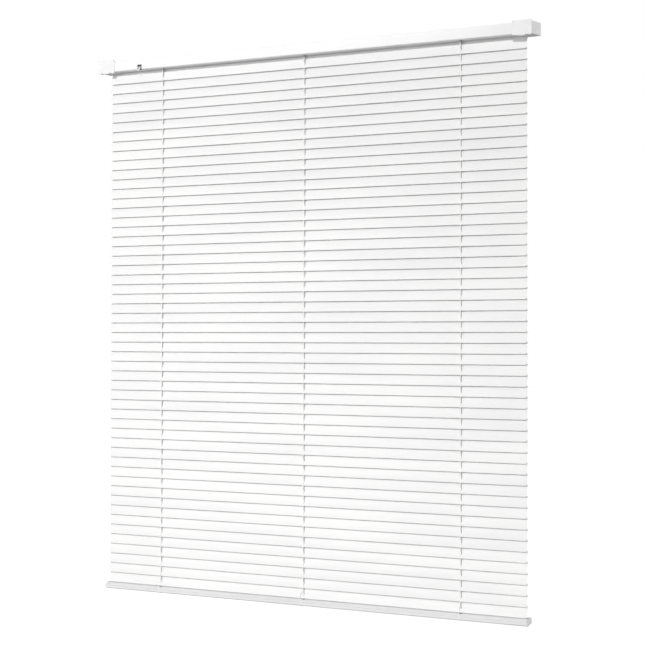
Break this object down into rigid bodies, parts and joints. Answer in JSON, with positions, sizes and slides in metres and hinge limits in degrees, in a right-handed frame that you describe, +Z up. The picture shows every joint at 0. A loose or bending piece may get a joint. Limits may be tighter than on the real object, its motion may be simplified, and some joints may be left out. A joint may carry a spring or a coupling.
{
  "type": "venetian blind",
  "caption": "Horizontal-slat venetian blind with boxed headrail brackets, ladder strings, lift cords, worm tilter and a weighted bottom rail.",
  "frame": {"origin": "middle of the four wall screws in the back walls of the two brackets, on the wall plane", "axes": "+X along the headrail to the right as seen from the room, +Y into the wall, +Z up"},
  "size_m": [1.0778, 0.0447, 1.1864],
  "materials": {
    "slat_vinyl": "satin",
    "rail_enamel": "satin",
    "bracket_plastic": "satin",
    "bottom_rail_vinyl": "satin",
    "rod_steel": "zinc plated",
    "stem_plastic": "satin",
    "white_cord": "braided"
  },
  "bodies": {
    "headrail_and_brackets": {"headrail": "rail_enamel", "mounting_brackets": "bracket_plastic", "ladders_and_cords": "white_cord"},
    "bracket_covers": {"bracket_covers": "bracket_plastic"},
    "tilt_shaft": {"tilt_shaft": "rod_steel"},
    "tilter_stem": {"tilter_stem": "stem_plastic"},
    "bottom_rail": {"bottom_rail": "bottom_rail_vinyl"},
    "slat_01": {"slat_01": "slat_vinyl"},
    "slat_02": {"slat_02": "slat_vinyl"},
    "slat_03": {"slat_03": "slat_vinyl"},
    "slat_04": {"slat_04": "slat_vinyl"},
    "slat_05": {"slat_05": "slat_vinyl"},
    "slat_06": {"slat_06": "slat_vinyl"},
    "slat_07": {"slat_07": "slat_vinyl"},
    "slat_08": {"slat_08": "slat_vinyl"},
    "slat_09": {"slat_09": "slat_vinyl"},
    "slat_10": {"slat_10": "slat_vinyl"},
    "slat_11": {"slat_11": "slat_vinyl"},
    "slat_12": {"slat_12": "slat_vinyl"},
    "slat_13": {"slat_13": "slat_vinyl"},
    "slat_14": {"slat_14": "slat_vinyl"},
    "slat_15": {"slat_15": "slat_vinyl"},
    "slat_16": {"slat_16": "slat_vinyl"},
    "slat_17": {"slat_17": "slat_vinyl"},
    "slat_18": {"slat_18": "slat_vinyl"},
    "slat_19": {"slat_19": "slat_vinyl"},
    "slat_20": {"slat_20": "slat_vinyl"},
    "slat_21": {"slat_21": "slat_vinyl"},
    "slat_22": {"slat_22": "slat_vinyl"},
    "slat_23": {"slat_23": "slat_vinyl"},
    "slat_24": {"slat_24": "slat_vinyl"},
    "slat_25": {"slat_25": "slat_vinyl"},
    "slat_26": {"slat_26": "slat_vinyl"},
    "slat_27": {"slat_27": "slat_vinyl"},
    "slat_28": {"slat_28": "slat_vinyl"},
    "slat_29": {"slat_29": "slat_vinyl"},
    "slat_30": {"slat_30": "slat_vinyl"},
    "slat_31": {"slat_31": "slat_vinyl"},
    "slat_32": {"slat_32": "slat_vinyl"},
    "slat_33": {"slat_33": "slat_vinyl"},
    "slat_34": {"slat_34": "slat_vinyl"},
    "slat_35": {"slat_35": "slat_vinyl"},
    "slat_36": {"slat_36": "slat_vinyl"},
    "slat_37": {"slat_37": "slat_vinyl"},
    "slat_38": {"slat_38": "slat_vinyl"},
    "slat_39": {"slat_39": "slat_vinyl"},
    "slat_40": {"slat_40": "slat_vinyl"},
    "slat_41": {"slat_41": "slat_vinyl"},
    "slat_42": {"slat_42": "slat_vinyl"},
    "slat_43": {"slat_43": "slat_vinyl"},
    "slat_44": {"slat_44": "slat_vinyl"},
    "slat_45": {"slat_45": "slat_vinyl"},
    "slat_46": {"slat_46": "slat_vinyl"},
    "slat_47": {"slat_47": "slat_vinyl"},
    "slat_48": {"slat_48": "slat_vinyl"},
    "slat_49": {"slat_49": "slat_vinyl"},
    "slat_50": {"slat_50": "slat_vinyl"},
    "slat_51": {"slat_51": "slat_vinyl"},
    "slat_52": {"slat_52": "slat_vinyl"},
    "slat_53": {"slat_53": "slat_vinyl"}
  },
  "joints": [
    {"name": "tilt", "type": "hinge", "parent": "headrail_and_brackets", "child": "tilt_shaft", "pos_m": [0, -0.0205, 0.001], "axis": [-1, 0, 0], "range_deg": [0, 225], "deforming": ["ladders_and_cords"]},
    {"name": "tilter_stem_turn", "type": "hinge", "parent": "headrail_and_brackets", "child": "tilter_stem", "pos_m": [-0.427, -0.02783, 0.00613], "axis": [0, -0.5736, -0.8192], "range_deg": [0, 1800]},
    {"name": "cover_swing", "type": "hinge", "parent": "headrail_and_brackets", "child": "bracket_covers", "pos_m": [0, -0.0393, -0.0141], "axis": [1, 0, 0], "range_deg": [0, 100]},
    {"name": "bottom_rail_rock", "type": "hinge", "parent": "headrail_and_brackets", "child": "bottom_rail", "pos_m": [0, -0.0205, -1.16305], "axis": [-1, 0, 0], "range_deg": [0, 34]},
    {"name": "slat_01_tilt", "type": "hinge", "parent": "headrail_and_brackets", "child": "slat_01", "pos_m": [0, -0.0205, -0.02565], "axis": [-1, 0, 0], "range_deg": [0, 150]},
    {"name": "slat_02_tilt", "type": "hinge", "parent": "headrail_and_brackets", "child": "slat_02", "pos_m": [0, -0.0205, -0.04715], "axis": [-1, 0, 0], "range_deg": [0, 150]},
    {"name": "slat_03_tilt", "type": "hinge", "parent": "headrail_and_brackets", "child": "slat_03", "pos_m": [0, -0.0205, -0.06865], "axis": [-1, 0, 0], "range_deg": [0, 150]},
    {"name": "slat_04_tilt", "type": "hinge", "parent": "headrail_and_brackets", "child": "slat_04", "pos_m": [0, -0.0205, -0.09015], "axis": [-1, 0, 0], "range_deg": [0, 150]},
    {"name": "slat_05_tilt", "type": "hinge", "parent": "headrail_and_brackets", "child": "slat_05", "pos_m": [0, -0.0205, -0.11165], "axis": [-1, 0, 0], "range_deg": [0, 150]},
    {"name": "slat_06_tilt", "type": "hinge", "parent": "headrail_and_brackets", "child": "slat_06", "pos_m": [0, -0.0205, -0.13315], "axis": [-1, 0, 0], "range_deg": [0, 150]},
    {"name": "slat_07_tilt", "type": "hinge", "parent": "headrail_and_brackets", "child": "slat_07", "pos_m": [0, -0.0205, -0.15465], "axis": [-1, 0, 0], "range_deg": [0, 150]},
    {"name": "slat_08_tilt", "type": "hinge", "parent": "headrail_and_brackets", "child": "slat_08", "pos_m": [0, -0.0205, -0.17615], "axis": [-1, 0, 0], "range_deg": [0, 150]},
    {"name": "slat_09_tilt", "type": "hinge", "parent": "headrail_and_brackets", "child": "slat_09", "pos_m": [0, -0.0205, -0.19765], "axis": [-1, 0, 0], "range_deg": [0, 150]},
    {"name": "slat_10_tilt", "type": "hinge", "parent": "headrail_and_brackets", "child": "slat_10", "pos_m": [0, -0.0205, -0.21915], "axis": [-1, 0, 0], "range_deg": [0, 150]},
    {"name": "slat_11_tilt", "type": "hinge", "parent": "headrail_and_brackets", "child": "slat_11", "pos_m": [0, -0.0205, -0.24065], "axis": [-1, 0, 0], "range_deg": [0, 150]},
    {"name": "slat_12_tilt", "type": "hinge", "parent": "headrail_and_brackets", "child": "slat_12", "pos_m": [0, -0.0205, -0.26215], "axis": [-1, 0, 0], "range_deg": [0, 150]},
    {"name": "slat_13_tilt", "type": "hinge", "parent": "headrail_and_brackets", "child": "slat_13", "pos_m": [0, -0.0205, -0.28365], "axis": [-1, 0, 0], "range_deg": [0, 150]},
    {"name": "slat_14_tilt", "type": "hinge", "parent": "headrail_and_brackets", "child": "slat_14", "pos_m": [0, -0.0205, -0.30515], "axis": [-1, 0, 0], "range_deg": [0, 150]},
    {"name": "slat_15_tilt", "type": "hinge", "parent": "headrail_and_brackets", "child": "slat_15", "pos_m": [0, -0.0205, -0.32665], "axis": [-1, 0, 0], "range_deg": [0, 150]},
    {"name": "slat_16_tilt", "type": "hinge", "parent": "headrail_and_brackets", "child": "slat_16", "pos_m": [0, -0.0205, -0.34815], "axis": [-1, 0, 0], "range_deg": [0, 150]},
    {"name": "slat_17_tilt", "type": "hinge", "parent": "headrail_and_brackets", "child": "slat_17", "pos_m": [0, -0.0205, -0.36965], "axis": [-1, 0, 0], "range_deg": [0, 150]},
    {"name": "slat_18_tilt", "type": "hinge", "parent": "headrail_and_brackets", "child": "slat_18", "pos_m": [0, -0.0205, -0.39115], "axis": [-1, 0, 0], "range_deg": [0, 150]},
    {"name": "slat_19_tilt", "type": "hinge", "parent": "headrail_and_brackets", "child": "slat_19", "pos_m": [0, -0.0205, -0.41265], "axis": [-1, 0, 0], "range_deg": [0, 150]},
    {"name": "slat_20_tilt", "type": "hinge", "parent": "headrail_and_brackets", "child": "slat_20", "pos_m": [0, -0.0205, -0.43415], "axis": [-1, 0, 0], "range_deg": [0, 150]},
    {"name": "slat_21_tilt", "type": "hinge", "parent": "headrail_and_brackets", "child": "slat_21", "pos_m": [0, -0.0205, -0.45565], "axis": [-1, 0, 0], "range_deg": [0, 150]},
    {"name": "slat_22_tilt", "type": "hinge", "parent": "headrail_and_brackets", "child": "slat_22", "pos_m": [0, -0.0205, -0.47715], "axis": [-1, 0, 0], "range_deg": [0, 150]},
    {"name": "slat_23_tilt", "type": "hinge", "parent": "headrail_and_brackets", "child": "slat_23", "pos_m": [0, -0.0205, -0.49865], "axis": [-1, 0, 0], "range_deg": [0, 150]},
    {"name": "slat_24_tilt", "type": "hinge", "parent": "headrail_and_brackets", "child": "slat_24", "pos_m": [0, -0.0205, -0.52015], "axis": [-1, 0, 0], "range_deg": [0, 150]},
    {"name": "slat_25_tilt", "type": "hinge", "parent": "headrail_and_brackets", "child": "slat_25", "pos_m": [0, -0.0205, -0.54165], "axis": [-1, 0, 0], "range_deg": [0, 150]},
    {"name": "slat_26_tilt", "type": "hinge", "parent": "headrail_and_brackets", "child": "slat_26", "pos_m": [0, -0.0205, -0.56315], "axis": [-1, 0, 0], "range_deg": [0, 150]},
    {"name": "slat_27_tilt", "type": "hinge", "parent": "headrail_and_brackets", "child": "slat_27", "pos_m": [0, -0.0205, -0.58465], "axis": [-1, 0, 0], "range_deg": [0, 150]},
    {"name": "slat_28_tilt", "type": "hinge", "parent": "headrail_and_brackets", "child": "slat_28", "pos_m": [0, -0.0205, -0.60615], "axis": [-1, 0, 0], "range_deg": [0, 150]},
    {"name": "slat_29_tilt", "type": "hinge", "parent": "headrail_and_brackets", "child": "slat_29", "pos_m": [0, -0.0205, -0.62765], "axis": [-1, 0, 0], "range_deg": [0, 150]},
    {"name": "slat_30_tilt", "type": "hinge", "parent": "headrail_and_brackets", "child": "slat_30", "pos_m": [0, -0.0205, -0.64915], "axis": [-1, 0, 0], "range_deg": [0, 150]},
    {"name": "slat_31_tilt", "type": "hinge", "parent": "headrail_and_brackets", "child": "slat_31", "pos_m": [0, -0.0205, -0.67065], "axis": [-1, 0, 0], "range_deg": [0, 150]},
    {"name": "slat_32_tilt", "type": "hinge", "parent": "headrail_and_brackets", "child": "slat_32", "pos_m": [0, -0.0205, -0.69215], "axis": [-1, 0, 0], "range_deg": [0, 150]},
    {"name": "slat_33_tilt", "type": "hinge", "parent": "headrail_and_brackets", "child": "slat_33", "pos_m": [0, -0.0205, -0.71365], "axis": [-1, 0, 0], "range_deg": [0, 150]},
    {"name": "slat_34_tilt", "type": "hinge", "parent": "headrail_and_brackets", "child": "slat_34", "pos_m": [0, -0.0205, -0.73515], "axis": [-1, 0, 0], "range_deg": [0, 150]},
    {"name": "slat_35_tilt", "type": "hinge", "parent": "headrail_and_brackets", "child": "slat_35", "pos_m": [0, -0.0205, -0.75665], "axis": [-1, 0, 0], "range_deg": [0, 150]},
    {"name": "slat_36_tilt", "type": "hinge", "parent": "headrail_and_brackets", "child": "slat_36", "pos_m": [0, -0.0205, -0.77815], "axis": [-1, 0, 0], "range_deg": [0, 150]},
    {"name": "slat_37_tilt", "type": "hinge", "parent": "headrail_and_brackets", "child": "slat_37", "pos_m": [0, -0.0205, -0.79965], "axis": [-1, 0, 0], "range_deg": [0, 150]},
    {"name": "slat_38_tilt", "type": "hinge", "parent": "headrail_and_brackets", "child": "slat_38", "pos_m": [0, -0.0205, -0.82115], "axis": [-1, 0, 0], "range_deg": [0, 150]},
    {"name": "slat_39_tilt", "type": "hinge", "parent": "headrail_and_brackets", "child": "slat_39", "pos_m": [0, -0.0205, -0.84265], "axis": [-1, 0, 0], "range_deg": [0, 150]},
    {"name": "slat_40_tilt", "type": "hinge", "parent": "headrail_and_brackets", "child": "slat_40", "pos_m": [0, -0.0205, -0.86415], "axis": [-1, 0, 0], "range_deg": [0, 150]},
    {"name": "slat_41_tilt", "type": "hinge", "parent": "headrail_and_brackets", "child": "slat_41", "pos_m": [0, -0.0205, -0.88565], "axis": [-1, 0, 0], "range_deg": [0, 150]},
    {"name": "slat_42_tilt", "type": "hinge", "parent": "headrail_and_brackets", "child": "slat_42", "pos_m": [0, -0.0205, -0.90715], "axis": [-1, 0, 0], "range_deg": [0, 150]},
    {"name": "slat_43_tilt", "type": "hinge", "parent": "headrail_and_brackets", "child": "slat_43", "pos_m": [0, -0.0205, -0.92865], "axis": [-1, 0, 0], "range_deg": [0, 150]},
    {"name": "slat_44_tilt", "type": "hinge", "parent": "headrail_and_brackets", "child": "slat_44", "pos_m": [0, -0.0205, -0.95015], "axis": [-1, 0, 0], "range_deg": [0, 150]},
    {"name": "slat_45_tilt", "type": "hinge", "parent": "headrail_and_brackets", "child": "slat_45", "pos_m": [0, -0.0205, -0.97165], "axis": [-1, 0, 0], "range_deg": [0, 150]},
    {"name": "slat_46_tilt", "type": "hinge", "parent": "headrail_and_brackets", "child": "slat_46", "pos_m": [0, -0.0205, -0.99315], "axis": [-1, 0, 0], "range_deg": [0, 150]},
    {"name": "slat_47_tilt", "type": "hinge", "parent": "headrail_and_brackets", "child": "slat_47", "pos_m": [0, -0.0205, -1.01465], "axis": [-1, 0, 0], "range_deg": [0, 150]},
    {"name": "slat_48_tilt", "type": "hinge", "parent": "headrail_and_brackets", "child": "slat_48", "pos_m": [0, -0.0205, -1.03615], "axis": [-1, 0, 0], "range_deg": [0, 150]},
    {"name": "slat_49_tilt", "type": "hinge", "parent": "headrail_and_brackets", "child": "slat_49", "pos_m": [0, -0.0205, -1.05765], "axis": [-1, 0, 0], "range_deg": [0, 150]},
    {"name": "slat_50_tilt", "type": "hinge", "parent": "headrail_and_brackets", "child": "slat_50", "pos_m": [0, -0.0205, -1.07915], "axis": [-1, 0, 0], "range_deg": [0, 150]},
    {"name": "slat_51_tilt", "type": "hinge", "parent": "headrail_and_brackets", "child": "slat_51", "pos_m": [0, -0.0205, -1.10065], "axis": [-1, 0, 0], "range_deg": [0, 150]},
    {"name": "slat_52_tilt", "type": "hinge", "parent": "headrail_and_brackets", "child": "slat_52", "pos_m": [0, -0.0205, -1.12215], "axis": [-1, 0, 0], "range_deg": [0, 150]},
    {"name": "slat_53_tilt", "type": "hinge", "parent": "headrail_and_brackets", "child": "slat_53", "pos_m": [0, -0.0205, -1.14365], "axis": [-1, 0, 0], "range_deg": [0, 150]}
  ],
  "couplings": [
    {"joint": "tilter_stem_turn", "follows": "tilt", "ratio": 8},
    {"joint": "bottom_rail_rock", "follows": "tilt", "ratio": 0.1511},
    {"joint": "slat_01_tilt", "follows": "tilt", "ratio": 0.6666},
    {"joint": "slat_02_tilt", "follows": "tilt", "ratio": 0.6666},
    {"joint": "slat_03_tilt", "follows": "tilt", "ratio": 0.6666},
    {"joint": "slat_04_tilt", "follows": "tilt", "ratio": 0.6666},
    {"joint": "slat_05_tilt", "follows": "tilt", "ratio": 0.6666},
    {"joint": "slat_06_tilt", "follows": "tilt", "ratio": 0.6666},
    {"joint": "slat_07_tilt", "follows": "tilt", "ratio": 0.6666},
    {"joint": "slat_08_tilt", "follows": "tilt", "ratio": 0.6666},
    {"joint": "slat_09_tilt", "follows": "tilt", "ratio": 0.6666},
    {"joint": "slat_10_tilt", "follows": "tilt", "ratio": 0.6666},
    {"joint": "slat_11_tilt", "follows": "tilt", "ratio": 0.6666},
    {"joint": "slat_12_tilt", "follows": "tilt", "ratio": 0.6666},
    {"joint": "slat_13_tilt", "follows": "tilt", "ratio": 0.6666},
    {"joint": "slat_14_tilt", "follows": "tilt", "ratio": 0.6666},
    {"joint": "slat_15_tilt", "follows": "tilt", "ratio": 0.6666},
    {"joint": "slat_16_tilt", "follows": "tilt", "ratio": 0.6666},
    {"joint": "slat_17_tilt", "follows": "tilt", "ratio": 0.6666},
    {"joint": "slat_18_tilt", "follows": "tilt", "ratio": 0.6666},
    {"joint": "slat_19_tilt", "follows": "tilt", "ratio": 0.6666},
    {"joint": "slat_20_tilt", "follows": "tilt", "ratio": 0.6666},
    {"joint": "slat_21_tilt", "follows": "tilt", "ratio": 0.6666},
    {"joint": "slat_22_tilt", "follows": "tilt", "ratio": 0.6666},
    {"joint": "slat_23_tilt", "follows": "tilt", "ratio": 0.6666},
    {"joint": "slat_24_tilt", "follows": "tilt", "ratio": 0.6666},
    {"joint": "slat_25_tilt", "follows": "tilt", "ratio": 0.6666},
    {"joint": "slat_26_tilt", "follows": "tilt", "ratio": 0.6666},
    {"joint": "slat_27_tilt", "follows": "tilt", "ratio": 0.6666},
    {"joint": "slat_28_tilt", "follows": "tilt", "ratio": 0.6666},
    {"joint": "slat_29_tilt", "follows": "tilt", "ratio": 0.6666},
    {"joint": "slat_30_tilt", "follows": "tilt", "ratio": 0.6666},
    {"joint": "slat_31_tilt", "follows": "tilt", "ratio": 0.6666},
    {"joint": "slat_32_tilt", "follows": "tilt", "ratio": 0.6666},
    {"joint": "slat_33_tilt", "follows": "tilt", "ratio": 0.6666},
    {"joint": "slat_34_tilt", "follows": "tilt", "ratio": 0.6666},
    {"joint": "slat_35_tilt", "follows": "tilt", "ratio": 0.6666},
    {"joint": "slat_36_tilt", "follows": "tilt", "ratio": 0.6666},
    {"joint": "slat_37_tilt", "follows": "tilt", "ratio": 0.6666},
    {"joint": "slat_38_tilt", "follows": "tilt", "ratio": 0.6666},
    {"joint": "slat_39_tilt", "follows": "tilt", "ratio": 0.6666},
    {"joint": "slat_40_tilt", "follows": "tilt", "ratio": 0.6666},
    {"joint": "slat_41_tilt", "follows": "tilt", "ratio": 0.6666},
    {"joint": "slat_42_tilt", "follows": "tilt", "ratio": 0.6666},
    {"joint": "slat_43_tilt", "follows": "tilt", "ratio": 0.6666},
    {"joint": "slat_44_tilt", "follows": "tilt", "ratio": 0.6666},
    {"joint": "slat_45_tilt", "follows": "tilt", "ratio": 0.6666},
    {"joint": "slat_46_tilt", "follows": "tilt", "ratio": 0.6666},
    {"joint": "slat_47_tilt", "follows": "tilt", "ratio": 0.6666},
    {"joint": "slat_48_tilt", "follows": "tilt", "ratio": 0.6666},
    {"joint": "slat_49_tilt", "follows": "tilt", "ratio": 0.6666},
    {"joint": "slat_50_tilt", "follows": "tilt", "ratio": 0.6666},
    {"joint": "slat_51_tilt", "follows": "tilt", "ratio": 0.6666},
    {"joint": "slat_52_tilt", "follows": "tilt", "ratio": 0.6666},
    {"joint": "slat_53_tilt", "follows": "tilt", "ratio": 0.6666}
  ]
}
